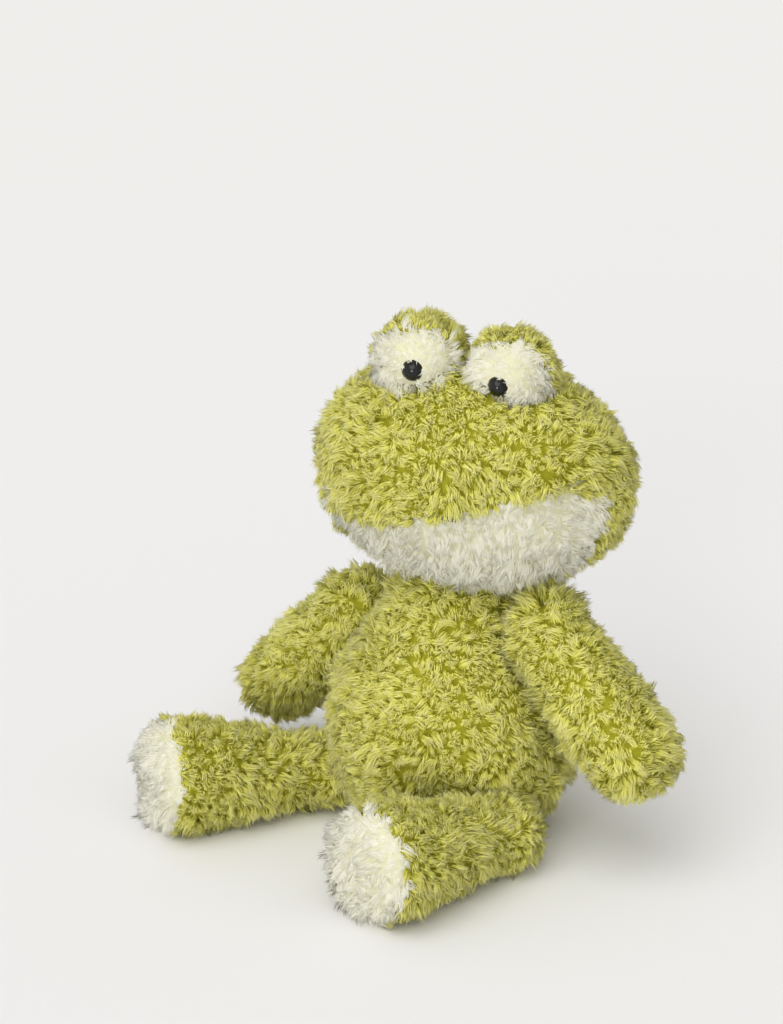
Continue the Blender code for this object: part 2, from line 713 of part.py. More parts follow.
def limb_stations(limb, outset):
    """A limb along +Z, grown by outset. A ball about the origin runs on to its waist, and the limb
    swells from there to its rounded end."""
    ball = limb.root - BALL_PROUD + outset
    wide = limb.half_width + outset
    thick = limb.half_thickness + outset
    waist = math.radians(limb.waist_angle)
    slim = ball * math.sin(waist)
    start = ball * math.cos(waist)
    made = [pole(-ball)]
    for k in range(1, LIMB_ROOT_RINGS):
        angle = math.pi - (math.pi - waist) * k / LIMB_ROOT_RINGS
        made.append(round_station(ball * math.cos(angle), ball * math.sin(angle)))
    for k in range(LIMB_BODY_RINGS + 1):
        share = k / LIMB_BODY_RINGS
        swell = limb.swell(share)
        across = X_AXIS * (slim + (wide - slim) * swell)
        up = Y_AXIS * (slim + (thick - slim) * swell)
        made.append((Z_AXIS * (start + (limb.round_from - start) * share), across, up))
    power = 2.0 / limb.squareness
    for k in range(1, LIMB_END_RINGS):
        angle = math.pi / 2 * k / LIMB_END_RINGS
        reach = math.cos(angle) ** power
        height = limb.round_from + (limb.length + outset - limb.round_from) * math.sin(angle) ** power
        made.append((Z_AXIS * height, X_AXIS * (wide * reach), Y_AXIS * (thick * reach)))
    made.append(pole(limb.length + outset))
    return made


def limb_body(name, limb, inset, axis, seat):
    """A limb's solid, inset by so much: pressed flat beside the torso, with its root ball kept whole."""
    body = helper(add_object(name, lofted(limb_stations(limb, -inset), LIMB_SIDES), None, axis))
    flat = limb.root - limb.sink - SEAM_GAP - inset
    cut_by(body, [], [half_space(f"{name}_press", (0, 0, flat), Z_AXIS, seat)])
    return boolean(body, ball_cutter(f"{name}_ball", limb.root - inset, seat), "UNION")


def skin_of_limb(name, outer, inner, look, axis, keeps):
    """One panel: the limb's outer solid inside these spaces, less its inner solid."""
    obj = bpy.data.objects.new(name, outer.data.copy())
    bpy.context.scene.collection.objects.link(obj)
    obj.parent = axis
    obj.data.materials.append(material(look))
    for source in outer.modifiers:
        boolean(obj, source.object, source.operation)
    cut_by(obj, [], [inner])
    cut_by(obj, keeps)


def sole_split(name, limb, axis):
    """The spaces of the leg above its sole and of the sole, apart by the seam between them."""
    sole_from = limb.length - SOLE_DEPTH
    half_gap = SEAM_GAP / 2
    ankle = half_space(f"{name}_ankle_side", (0, 0, sole_from - half_gap), -Z_AXIS, axis)
    beyond = half_space(f"{name}_sole_side", (0, 0, sole_from + half_gap), Z_AXIS, axis)
    return ankle, beyond


def build_limb(kind, side, pivots, floor):
    """Two panels and the stuffing of an arm or a leg, along its own axis, and a leg's sole."""
    limb = LIMBS[kind]
    name = f"{kind}_{side}"
    axis = pivots[name]
    seat = pivots[f"{limb.joint}_{side}"]
    half_gap = SEAM_GAP / 2
    outer = limb_body(f"{name}_outside", limb, 0, axis, seat)
    inner = limb_body(f"{name}_inside", limb, SKIN, axis, seat)
    keeps = []
    if kind == "leg":
        ankle, beyond = sole_split(name, limb, axis)
        keeps = [ankle, floor]
        skin_of_limb(f"sole_{side}", outer, inner, CREAM_FUR, axis, [beyond, floor])
    for label, way in zip(limb.panels, (Y_AXIS, -Y_AXIS)):
        half = half_space(f"{name}_{label}_side", way * half_gap, way, axis)
        skin_of_limb(f"{name}_{label}_panel", outer, inner, GREEN_FUR, axis, [half, *keeps])
    filling = limb_body(f"{name}_stuffing", limb, SKIN + SEAM_GAP, axis, seat)
    filling.hide_render = False
    filling.display_type = "TEXTURED"
    filling.data.materials.append(material(FIBRE))


# Sewing thread at the joints

def ring_of_thread(name, ball_radius, angle_degrees, parent):
    """A ring of sewing thread about its parent's Z axis, between a ball and its seat."""
    angle = math.radians(angle_degrees)
    middle = ball_radius + SEAM_GAP + THREAD_RADIUS
    bm = bmesh.new()
    loops = []
    for k in range(RING_SIDES):
        turn = 2 * math.pi * k / RING_SIDES
        out = Vector((math.cos(turn), math.sin(turn), 0))
        loop = []
        for j in range(RING_WIRE_SIDES):
            wire = 2 * math.pi * j / RING_WIRE_SIDES
            reach = middle * math.sin(angle) + THREAD_RADIUS * math.cos(wire)
            height = middle * math.cos(angle) + THREAD_RADIUS * math.sin(wire)
            loop.append(bm.verts.new(out * reach + Z_AXIS * height))
        loops.append(loop)
    for k, here in enumerate(loops):
        there = loops[(k + 1) % RING_SIDES]
        for j in range(RING_WIRE_SIDES):
            after = (j + 1) % RING_WIRE_SIDES
            bm.faces.new([here[j], there[j], there[after], here[after]])
    return add_object(name, bm, GREEN_THREAD, parent)


def build_threads(pivots):
    ring_of_thread("neck_seam_thread", NECK_DOME_RADIUS, NECK_RING_ANGLE, pivots["neck"])
    ring_of_thread("neck_tie_thread", NECK_DOME_RADIUS, NECK_TIE_ANGLE, pivots["neck"])
    for limb in LIMBS.values():
        for side in SIGN_OF_SIDE:
            name = f"{limb.joint}_{side}"
            ring_of_thread(f"{name}_thread", limb.root, LIMB_RING_ANGLE, pivots[name])


def main():
    clear_scene()
    floor = half_space("floor_cut", (0, 0, 0), Z_AXIS)
    pivots = build_joint_pivots()
    build_torso(pivots)
    build_head(pivots)
    for kind in LIMBS:
        for side in SIGN_OF_SIDE:
            build_limb(kind, side, pivots, floor)
    build_threads(pivots)


main()
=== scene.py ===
"""The looks of the plush frog: curly pile in tufts, button eyes, and plain soft studio light."""

import itertools
import math
from collections import namedtuple

import bmesh
import bpy
import numpy as np
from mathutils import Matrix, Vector
from mathutils.bvhtree import BVHTree
from mathutils.kdtree import KDTree


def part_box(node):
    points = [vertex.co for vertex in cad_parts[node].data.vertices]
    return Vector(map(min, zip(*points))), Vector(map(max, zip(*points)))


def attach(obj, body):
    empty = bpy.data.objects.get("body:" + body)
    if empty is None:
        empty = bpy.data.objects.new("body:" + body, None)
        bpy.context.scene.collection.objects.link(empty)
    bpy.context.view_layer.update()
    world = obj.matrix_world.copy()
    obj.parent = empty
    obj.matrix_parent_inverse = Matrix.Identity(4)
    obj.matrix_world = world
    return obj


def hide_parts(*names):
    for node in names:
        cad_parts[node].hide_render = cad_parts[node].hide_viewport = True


MM = 0.001
SEED = 7
SIDES = ("left", "right")

# The camera stands to the frog's left of its front, a little above it. Its angles are in degrees, its
# distance and aim in metres, and its lens and sensor in mm.
CAMERA_AZIMUTH = 34.0
CAMERA_ELEVATION = 20.0
CAMERA_DISTANCE = 1.25
CAMERA_LENS = 110.0
CAMERA_SENSOR = 36.0
CAMERA_AIM = Vector((-0.0165, -0.023, 0.1365))

# The stage in metres, and its light
FLOOR_HALF_SIZE = 3.0
FLOOR_FADE_FROM = 0.45
FLOOR_FADE_TO = 1.2
FLOOR_COLOUR = (0.892, 0.885, 0.883)
BACKDROP_COLOUR = (0.863, 0.855, 0.838)
WORLD_COLOUR = (1.0, 0.995, 0.985)
WORLD_LIGHT = 0.54

# Colours of the pile at shares of its height, and what the darkest tufts are multiplied by
# The darker root colours are painted shade deep in the pile, and the paler tip colours are painted light
# on the tips.
GREEN_PAINTED_SHADE_ALONG = ((0.1, (0.49, 0.476, 0.038)), (0.5, (0.84, 0.81, 0.175)), (0.9, (0.98, 0.95, 0.47)))
GREEN_DARK_TINT = (0.91, 0.90, 0.84)
CREAM_PAINTED_SHADE_ALONG = ((0.1, (0.80, 0.777, 0.57)), (0.5, (0.84, 0.82, 0.68)), (0.9, (0.84, 0.827, 0.74)))
CREAM_DARK_TINT = (0.93, 0.93, 0.90)
NO_TINT = (1.0, 1.0, 1.0)
# How dark or pale the tufts are between the two tints, and how far their strands differ from them
TUFT_TONE_SHARE = 0.5
TUFT_TONE_SPREAD_SHARE = 0.2
STRAND_TONE_SPREAD_SHARE = 0.14

# The small parts, and the fine grain of the washers and threads
BUTTON_COLOUR = (0.004, 0.004, 0.005)
WASHER_COLOUR = (0.8, 0.8, 0.78)
MOUTH_THREAD_COLOUR = (0.11, 0.12, 0.13)
SEWING_THREAD_COLOUR = (0.42, 0.46, 0.10)
GRAIN_SCALE = 900.0
GRAIN_DETAIL = 2.0
GRAIN_DARK_SHARE = 0.6
GRAIN_FROM_SHARE = 0.3
GRAIN_TO_SHARE = 0.7

# The stuffed forms that carry the pile, and the backing that lies this deep below their outside
VOXEL = 2.0 * MM
SMOOTHING_SHARE = 0.5
SMOOTHING_STEPS = 8
BACKING_DEPTH = 3.6 * MM
# The backing's colour is painted shade in the gaps between the tufts: the pile's darkest root colour and
# a darker tone.
BACKING_SHADE_TONE_SHARE = 0.2
BACKING_SHADE_REACH_SHARE = 0.05
# A root is left out where it lies deeper than this inside a neighbour, looked for this far away.
BURIED = 2.0 * MM
NEIGHBOUR_REACH = 40 * MM
# No pile or backing goes lower than this.
FLOOR_REST = 0.3 * MM

# Roots are scattered at random, this many for each that there is room for, and thinned out.
TUFT_SPACING = 2.8 * MM
TRIES_PER_ROOT = 6
LEAST_APART_SHARE = 0.8
CELL_STEPS = tuple(itertools.product((-1, 0, 1), repeat=3))

# Each tuft is a lock of fine strands round a bent middle line, which rises and leans.
TUFT_PROUD = 2.0 * MM
TUFT_PROUD_SPREAD = 0.8 * MM
TUFT_LEAN = 2.3 * MM
TUFT_LEAN_SPREAD = 1.5 * MM
TUFT_DROOP = 1.2 * MM
# How much of its rise and of its lean a tuft has where it bends
TUFT_BEND_RISE_SHARE = 0.8
TUFT_BEND_LEAN_SHARE = 0.12
# A smooth field of directions sets this much of the way in which a tuft leans. Along each axis it is a
# sine and a cosine of the two other axes, with these rates and starts.
GROOM_SHARE = 0.5
GROOM_WAVE = 30.0 * MM
GROOM_RATES = ((0.9, 1.1), (1.0, 0.8), (1.2, 0.9))
GROOM_STARTS = ((1.3, 0.4), (2.1, 1.9), (0.2, 2.7))
# The tufts of a clump grow longer or shorter together, lean together, and pull a little to its middle.
CLUMP_SPACING = 6.0 * MM
CLUMP_PULL_SHARE = 0.08
CLUMP_LEAN = 0.7 * MM
CLUMP_LENGTH_SPREAD_SHARE = 0.12

# A short tuft's lock is thinner, but this share of its radius stays, and no lock is under the least.
LOCK_RADIUS = 1.6 * MM
LOCK_RADIUS_SPREAD = 0.3 * MM
LOCK_FIXED_SHARE = 0.6
LOCK_LEAST_SHARE = 0.5
# How much the pile's shading rounds over a lock, and over a strand
LOCK_ROUNDNESS = 0.4
STRAND_ROUNDNESS = 0.25
# Where on the middle line the lock is square to it, and as shares of the lock's radius, how far off that
# line a strand starts, and how far off it ends, at the bottom and at the top of the lock
LOCK_HEADING_SHARE = 0.6
LOCK_START_SHARE = 0.95
LOCK_WIDEST_SHARE = 1.5
LOCK_TIP_SHARE = 0.5

STRANDS_IN_TUFT = 30
STRAND_SIDES = 3
STRAND_WIDTH = 0.5 * MM
STRAND_FRIZZ = 0.55 * MM
# How strands spread over the lock's round, where on it they start, and how much of it they run along
STRAND_RING_SHARES = (0.05, 1.3)
STRAND_START_SHARES = (0.05, 0.6)
STRAND_LENGTH_SHARES = (0.42, 0.6)
STRAND_TO_SHARE = STRAND_START_SHARES[1] + STRAND_LENGTH_SHARES[1]
# The pile of a large panel is made as several pieces of about this many faces at most.
MOST_FACES = 190000
MAP_MARGIN_SHARE = 0.02
MAP_STRAND_SHARE = 0.006

# The pile is shorter on the eyes and round a button, and none of it grows under one.
PILE_ON_EYES_SHARE = 0.85
PILE_AT_BUTTON_SHARE = 0.55
BUTTON_CLEAR = 5.0 * MM
BUTTON_EASE = 5.0 * MM
BUTTON_PUSH = 1.0 * MM
BUTTON_RIM = 0.8 * MM
BUTTON_RINGS = 12
BUTTON_SEGMENTS = 48

# Pile of the other bodies that comes near the head is longer, and closes the crease below the jaw.
NECK_REACH = 20.0 * MM
PILE_AT_NECK_SHARE = 1.9

# Across the head, from the frog's right cheek to its left, how far the green hangs below the mouth's
# seam, as a share of the head's height. Below zero the cream rises above the seam.
MOUTH_ASIDE_SHARES = (-1.0, -0.88, -0.72, -0.49, -0.25, 0.05, 0.32, 0.62, 0.84, 1.0)
MOUTH_DROOP_SHARES = (-0.18, -0.10, 0.045, 0.06, 0.015, 0.0, -0.04, 0.0, 0.1, 0.12)

CREAM_NODES = {"jaw_panel", "sole_left", "sole_right", "eye_left_white_panel", "eye_right_white_panel"}

Form = namedtuple("Form", "body panels core convex")
Roots = namedtuple("Roots", "places normals lengths away")
Tufts = namedtuple("Tufts", "low middle high normals radius")


# Objects and meshes

def linked(name, data):
    """A new object in the scene."""
    obj = bpy.data.objects.new(name, data)
    bpy.context.scene.collection.objects.link(obj)
    return obj


def mesh_of(bm, name):
    """The mesh that a bmesh holds, and the bmesh gone."""
    mesh = bpy.data.meshes.new(name)
    bm.to_mesh(mesh)
    bm.free()
    return mesh


def add_piece(name, mesh, material, body):
    """A piece of the frog that rides on a body of the frame."""
    obj = linked(name, mesh)
    mesh.materials.append(material)
    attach(obj, body)
    return obj


def give_values(mesh, label, values):
    """Writes a value for each point of a mesh, under a name that the materials read."""
    attribute = mesh.attributes.new(label, "FLOAT", "POINT")
    attribute.data.foreach_set("value", values.astype(np.float32))


def arrays_of(mesh):
    """Points, vertex normals and triangles of a mesh."""
    mesh.calc_loop_triangles()
    points = np.empty(len(mesh.vertices) * 3)
    mesh.vertices.foreach_get("co", points)
    normals = np.empty(len(mesh.vertices) * 3)
    mesh.vertices.foreach_get("normal", normals)
    faces = np.empty(len(mesh.loop_triangles) * 3, np.int32)
    mesh.loop_triangles.foreach_get("vertices", faces)
    return points.reshape(-1, 3), normals.reshape(-1, 3), faces.reshape(-1, 3)


def tree_of(mesh):
    """A tree that finds the nearest place on a mesh."""
    points, _, faces = arrays_of(mesh)
    return BVHTree.FromPolygons(points.tolist(), faces.tolist())


def nearest(place, trees):
    """The index of the surface that lies nearest to a place."""
    return int(np.argmin([tree.find_nearest(place)[3] for tree in trees]))


def middle_of(node):
    """The middle of a node's box."""
    low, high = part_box(node)
    return (np.array(low) + np.array(high)) / 2


def unit(vectors):
    """The vectors with their length made 1."""
    return vectors / np.maximum(np.linalg.norm(vectors, axis=-1, keepdims=True), 1e-12)


def across_of(normals, rng):
    """Two unit vectors square to each normal and to each other, turned at random about it."""
    first = unit(np.cross(normals, unit(rng.normal(size=normals.shape))))
    return first, np.cross(normals, first)


# Materials

def node_of(tree, kind, **values):
    """Adds a shader node and sets its properties and, by name, its inputs."""
    made = tree.nodes.new(kind)
    for name, value in values.items():
        if name in made.inputs:
            made.inputs[name].default_value = value
        else:
            setattr(made, name, value)
    return made


def new_material(name, inputs):
    """A material whose shader has these inputs set."""
    made = bpy.data.materials.new(name)
    made.use_nodes = True
    shader = made.node_tree.nodes["Principled BSDF"]
    for label, value in inputs.items():
        shader.inputs[label].default_value = value
    return made


def ramp_of(tree, value, stops):
    """The colours that a ramp through (place, colour) stops has at a value."""
    made = tree.nodes.new("ShaderNodeValToRGB")
    ramp = made.color_ramp
    while len(ramp.elements) < len(stops):
        ramp.elements.new(0.5)
    for element, (place, colour) in zip(ramp.elements, stops):
        element.position = place
        element.color = (*colour, 1)
    tree.links.new(value, made.inputs["Fac"])
    return made.outputs["Color"]


def fur_material(name, along, dark_tint):
    """Pile that runs from a darker root, painted shade, to a paler tip, painted light, and darker or
    paler at random from tuft to tuft.
    """
    made = new_material(name, {
        "Roughness": 0.85,
        "Specular IOR Level": 0.1,
        "Sheen Weight": 0.06,
        "Sheen Roughness": 0.5,
    })
    tree = made.node_tree
    reach = node_of(tree, "ShaderNodeAttribute", attribute_name="reach")
    tone = node_of(tree, "ShaderNodeAttribute", attribute_name="tone")
    mixed = node_of(tree, "ShaderNodeMix", data_type="RGBA", blend_type="MULTIPLY")
    mixed.inputs["Factor"].default_value = 1.0
    tree.links.new(ramp_of(tree, reach.outputs["Fac"], along), mixed.inputs["A"])
    tints = ((0.0, dark_tint), (1.0, NO_TINT))
    tree.links.new(ramp_of(tree, tone.outputs["Fac"], tints), mixed.inputs["B"])
    tree.links.new(mixed.outputs["Result"], tree.nodes["Principled BSDF"].inputs["Base Color"])
    return made


def button_material():
    """Glossy black plastic."""
    return new_material("glossy_button", {
        "Base Color": (*BUTTON_COLOUR, 1),
        "Roughness": 0.1,
        "Specular IOR Level": 0.4,
    })


def grained_material(name, colour):
    """A plain matt material with a fine grain."""
    made = new_material(name, {"Roughness": 0.8})
    tree = made.node_tree
    noise = node_of(tree, "ShaderNodeTexNoise", Scale=GRAIN_SCALE, Detail=GRAIN_DETAIL)
    dark = tuple(GRAIN_DARK_SHARE * part for part in colour)
    grain = ramp_of(tree, noise.outputs["Fac"], ((GRAIN_FROM_SHARE, dark), (GRAIN_TO_SHARE, colour)))
    tree.links.new(grain, tree.nodes["Principled BSDF"].inputs["Base Color"])
    return made


def floor_material():
    """A pale matt floor that fades into the backdrop away from the frog."""
    made = new_material("studio_floor", {
        "Base Color": (*FLOOR_COLOUR, 1),
        "Roughness": 0.9,
        "Specular IOR Level": 0.1,
    })
    tree = made.node_tree
    place = node_of(tree, "ShaderNodeNewGeometry")
    reach = node_of(tree, "ShaderNodeVectorMath", operation="LENGTH")
    tree.links.new(place.outputs["Position"], reach.inputs[0])
    fade = node_of(tree, "ShaderNodeMapRange", interpolation_type="SMOOTHSTEP")
    fade.inputs["From Min"].default_value = FLOOR_FADE_FROM
    fade.inputs["From Max"].default_value = FLOOR_FADE_TO
    tree.links.new(reach.outputs["Value"], fade.inputs["Value"])
    clear = node_of(tree, "ShaderNodeBsdfTransparent")
    mixed = node_of(tree, "ShaderNodeMixShader")
    tree.links.new(fade.outputs["Result"], mixed.inputs[0])
    tree.links.new(tree.nodes["Principled BSDF"].outputs["BSDF"], mixed.inputs[1])
    tree.links.new(clear.outputs["BSDF"], mixed.inputs[2])
    tree.links.new(mixed.outputs["Shader"], tree.nodes["Material Output"].inputs["Surface"])
    return made


# The stage, the light and the camera

def build_stage():
    """A wide flat floor."""
    bm = bmesh.new()
    bmesh.ops.create_grid(bm, x_segments=1, y_segments=1, size=FLOOR_HALF_SIZE)
    mesh = mesh_of(bm, "studio_floor")
    mesh.materials.append(floor_material())
    floor = linked("studio_floor", mesh)


def build_world():
    """A plain grey-white surround that light and the camera see at different strengths."""
    world = bpy.data.worlds.new("studio_surround")
    bpy.context.scene.world = world
    world.use_nodes = True
    tree = world.node_tree
    lit = tree.nodes["Background"]
    lit.inputs["Color"].default_value = (*WORLD_COLOUR, 1)
    lit.inputs["Strength"].default_value = WORLD_LIGHT
    seen = node_of(tree, "ShaderNodeBackground", Color=(*BACKDROP_COLOUR, 1), Strength=1.0)
    path = node_of(tree, "ShaderNodeLightPath")
    is_seen = path.outputs["Is Camera Ray"]
    for kind in ("Is Glossy Ray", "Is Transmission Ray"):
        either = node_of(tree, "ShaderNodeMath", operation="MAXIMUM")
        tree.links.new(is_seen, either.inputs[0])
        tree.links.new(path.outputs[kind], either.inputs[1])
        is_seen = either.outputs[0]
    mixed = node_of(tree, "ShaderNodeMixShader")
    tree.links.new(is_seen, mixed.inputs[0])
    tree.links.new(lit.outputs[0], mixed.inputs[1])
    tree.links.new(seen.outputs[0], mixed.inputs[2])
    tree.links.new(mixed.outputs[0], tree.nodes["World Output"].inputs["Surface"])


def direction_at(azimuth, elevation):
    """The unit vector from the frog towards a place, with azimuth 0 in front of it."""
    a = math.radians(azimuth)
    e = math.radians(elevation)
    return Vector((math.sin(a) * math.cos(e), -math.cos(a) * math.cos(e), math.sin(e)))


def soft_light(name, azimuth, elevation, spread, share):
    """A soft light from far off. Share is what it adds to a surface that faces it, where white is 1."""
    light = bpy.data.lights.new(name, "SUN")
    light.angle = math.radians(spread)
    light.energy = share * math.pi
    obj = linked(name, light)
    obj.rotation_mode = "QUATERNION"
    obj.rotation_quaternion = direction_at(azimuth, elevation).to_track_quat("Z", "Y")


def build_lights():
    """A broad key light from high up, and a narrower one from low in front. Angles are in degrees."""
    soft_light("key_softbox", azimuth=10, elevation=60, spread=60, share=0.44)
    soft_light("front_dish", azimuth=18, elevation=9, spread=24, share=0.32)


def build_camera():
    """The camera that the photo was taken with, as near as it can be judged."""
    data = bpy.data.cameras.new("photo_camera")
    data.lens = CAMERA_LENS
    data.sensor_width = CAMERA_SENSOR
    camera = linked("photo_camera", data)
    towards = direction_at(CAMERA_AZIMUTH, CAMERA_ELEVATION)
    camera.location = CAMERA_AIM + towards * CAMERA_DISTANCE
    camera.rotation_mode = "QUATERNION"
    camera.rotation_quaternion = towards.to_track_quat("Z", "Y")
    bpy.context.scene.camera = camera


# Stuffed forms

def stuffed_forms():
    """The body, panels and filling of each form, and whether its outside is convex."""
    torso_panels = ("torso_front_panel", "torso_back_left_panel", "torso_back_right_panel")
    head_panels = ("face_panel", "jaw_panel", "head_back_panel")
    forms = {
        "torso": Form("torso", torso_panels, ("torso_stuffing", "seat_pellet_pouch"), True),
        "head": Form("head", head_panels, ("head_stuffing",), True),
    }
    for side in SIDES:
        eye = f"eye_{side}"
        eye_panels = (f"{eye}_white_panel", f"{eye}_hood_panel")
        forms[eye] = Form("head", eye_panels, (f"{eye}_stuffing",), True)
        arm = f"arm_{side}"
        arm_panels = (f"{arm}_front_panel", f"{arm}_back_panel")
        forms[arm] = Form(arm, arm_panels, (f"{arm}_stuffing",), False)
        leg = f"leg_{side}"
        leg_panels = (f"{leg}_upper_panel", f"{leg}_lower_panel", f"sole_{side}")
        forms[leg] = Form(leg, leg_panels, (f"{leg}_stuffing",), False)
    return forms


def copy_of_nodes(name, nodes, convex):
    """One mesh of several solids of the frame, or the smallest convex body round them."""
    bm = bmesh.new()
    for node in nodes:
        bm.from_mesh(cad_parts[node].data)
    if convex:
        made = bmesh.ops.convex_hull(bm, input=bm.verts)
        inside = [item for item in made["geom_interior"] if isinstance(item, bmesh.types.BMVert)]
        bmesh.ops.delete(bm, geom=inside, context="VERTS")
        hull = {item for item in made["geom"] if isinstance(item, bmesh.types.BMFace)}
        spare = [face for face in bm.faces if face not in hull]
        bmesh.ops.delete(bm, geom=spare, context="FACES_ONLY")
        bmesh.ops.recalc_face_normals(bm, faces=bm.faces)
    return linked(name, mesh_of(bm, name))


def closed_form(name, form):
    """The smooth closed outside of a stuffed form, as a mesh."""
    obj = copy_of_nodes(f"{name}_form", [*form.panels, *form.core], form.convex)
    remesh = obj.modifiers.new("closed", "REMESH")
    remesh.mode = "VOXEL"
    remesh.voxel_size = VOXEL
    smooth = obj.modifiers.new("eased", "SMOOTH")
    smooth.factor = SMOOTHING_SHARE
    smooth.iterations = SMOOTHING_STEPS
    bpy.context.view_layer.update()
    graph = bpy.context.evaluated_depsgraph_get()
    mesh = bpy.data.meshes.new_from_object(obj.evaluated_get(graph))
    mesh.name = f"{name}_form"
    bpy.data.objects.remove(obj)
    return mesh


def build_backing(name, form, mesh, panel_trees, materials):
    """The stuffed body under the pile: the form's outside, moved in by the depth of the pile."""
    points, normals, _ = arrays_of(mesh)
    inner = mesh.copy()
    inner.name = f"{name}_backing"
    points = points - normals * BACKING_DEPTH
    points[:, 2] = np.maximum(points[:, 2], FLOOR_REST)
    inner.vertices.foreach_set("co", points.astype(np.float32).ravel())
    # Painted shade: the backing takes the pile's darkest root colour and a darker tone, for the shade in
    # the gaps between tufts.
    give_values(inner, "tone", np.full(len(points), BACKING_SHADE_TONE_SHARE))
    give_values(inner, "reach", np.full(len(points), BACKING_SHADE_REACH_SHARE))
    inner.shade_smooth()
    obj = add_piece(f"{name}_backing", inner, materials["green"], form.body)
    pale = [index for index, panel in enumerate(form.panels) if panel in CREAM_NODES]
    if pale:
        inner.materials.append(materials["cream"])
        slots = [int(nearest(face.center, panel_trees) in pale) for face in inner.polygons]
        inner.polygons.foreach_set("material_index", slots)
    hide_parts(*form.core)


# Where the pile grows

def is_crowded(place, key, cells, least):
    """Whether a place taken earlier, in the same cell or one beside it, is nearer than least."""
    for i, j, k in CELL_STEPS:
        for x, y, z in cells.get((key[0] + i, key[1] + j, key[2] + k), ()):
            if (x - place[0]) ** 2 + (y - place[1]) ** 2 + (z - place[2]) ** 2 < least * least:
                return True
    return False


def spaced_out(places, least):
    """Indices of places taken in turn, leaving out each that is too near one already taken."""
    cells = {}
    kept = []
    keys = np.floor(places / least).astype(int)
    for index, (key, place) in enumerate(zip(keys.tolist(), places.tolist())):
        if not is_crowded(place, key, cells, least):
            cells.setdefault(tuple(key), []).append(place)
            kept.append(index)
    return np.array(kept)


def scattered(mesh, rng):
    """Places and normals spread evenly over a surface, with room for one tuft at each."""
    points, normals, faces = arrays_of(mesh)
    corners = points[faces]
    first = corners[:, 1] - corners[:, 0]
    second = corners[:, 2] - corners[:, 0]
    area = np.linalg.norm(np.cross(first, second), axis=1) / 2
    tries = int(TRIES_PER_ROOT * area.sum() / TUFT_SPACING**2)
    face = rng.choice(len(faces), tries, p=area / area.sum())
    u = np.sqrt(rng.random(tries))
    v = rng.random(tries)
    weights = np.stack([1 - u, u * (1 - v), u * v], 1)[:, :, None]
    places = (corners[face] * weights).sum(1)
    outward = (normals[faces[face]] * weights).sum(1)
    outward /= np.linalg.norm(outward, axis=1)[:, None]
    kept = spaced_out(places, TUFT_SPACING * LEAST_APART_SHARE)
    return places[kept], outward[kept]


def is_buried(place, others):
    """Whether a place lies well inside another form."""
    for tree in others:
        near, normal, _, distance = tree.find_nearest(place, NEIGHBOUR_REACH)
        if near is not None and distance > BURIED and (Vector(place) - near).dot(normal) < 0:
            return True
    return False


def clumped(places, rng):
    """How long the pile is made at each place, and how it leans, by the clump that it is in."""
    middles = places[spaced_out(places, CLUMP_SPACING)]
    tree = KDTree(len(middles))
    for index, middle in enumerate(middles.tolist()):
        tree.insert(middle, index)
    tree.balance()
    clump = np.array([tree.find(place)[1] for place in places.tolist()])
    lengths = 1 + rng.normal(0, CLUMP_LENGTH_SPREAD_SHARE, (len(middles), 1))
    lean = rng.normal(size=middles.shape) * CLUMP_LEAN
    return lengths[clump], (middles[clump] - places) * CLUMP_PULL_SHARE + lean[clump]


def round_buttons(places, lengths, away, lines):
    """The lengths and leans with short pile that leans off each button, and which places are kept."""
    kept = np.full(len(places), True)
    for centre, axis in lines:
        offset = places - centre
        aside = offset - axis * (offset @ axis)[:, None]
        distance = np.linalg.norm(aside, axis=1, keepdims=True)
        before = (offset @ axis > -BUTTON_EASE)[:, None]
        near = np.clip((BUTTON_CLEAR + BUTTON_EASE - distance) / BUTTON_EASE, 0, 1) * before
        lengths = lengths * (1 - near) + np.minimum(lengths, PILE_AT_BUTTON_SHARE) * near
        away = away * (1 - near) + unit(aside) * near * BUTTON_PUSH
        kept &= ~((distance < BUTTON_CLEAR) & before)[:, 0]
    return lengths, away, kept


def longer_at_neck(places, head):
    """How much longer the pile grows at each place, the nearer it lies to the head."""
    apart = np.array([head.find_nearest(place)[3] for place in places.tolist()])
    near = np.clip(1 - apart / NECK_REACH, 0, 1)[:, None]
    return 1 + (PILE_AT_NECK_SHARE - 1) * near


def picked(roots, which):
    """Some of the roots, by a mask or by their indices."""
    return Roots(*(values[which] for values in roots))


def roots_on(name, form, mesh, trees, lines, rng):
    """Where the pile of a form grows, with its direction, its length and how far it leans aside."""
    places, outward = scattered(mesh, rng)
    others = [tree for other, tree in trees.items() if other != name]
    clear = np.array([not is_buried(place, others) for place in places.tolist()])
    lengths, away = clumped(places, rng)
    if name.startswith("eye"):
        lengths = lengths * PILE_ON_EYES_SHARE
    lengths, away, kept = round_buttons(places, lengths, away, lines)
    if form.body != "head":
        lengths = lengths * longer_at_neck(places, trees["head"])
    return picked(Roots(places, outward, lengths, away), clear & kept)


# Tufts and strands

def grooming(places):
    """A smooth field of directions: neighbouring tufts lean much the same way."""
    turns = places * (2 * math.pi / GROOM_WAVE)
    field = []
    for axis, (rates, starts) in enumerate(zip(GROOM_RATES, GROOM_STARTS)):
        sine = np.sin(rates[0] * turns[:, (axis + 1) % 3] + starts[0])
        cosine = np.cos(rates[1] * turns[:, (axis + 2) % 3] + starts[1])
        field.append(sine + cosine)
    return unit(np.stack(field, 1))


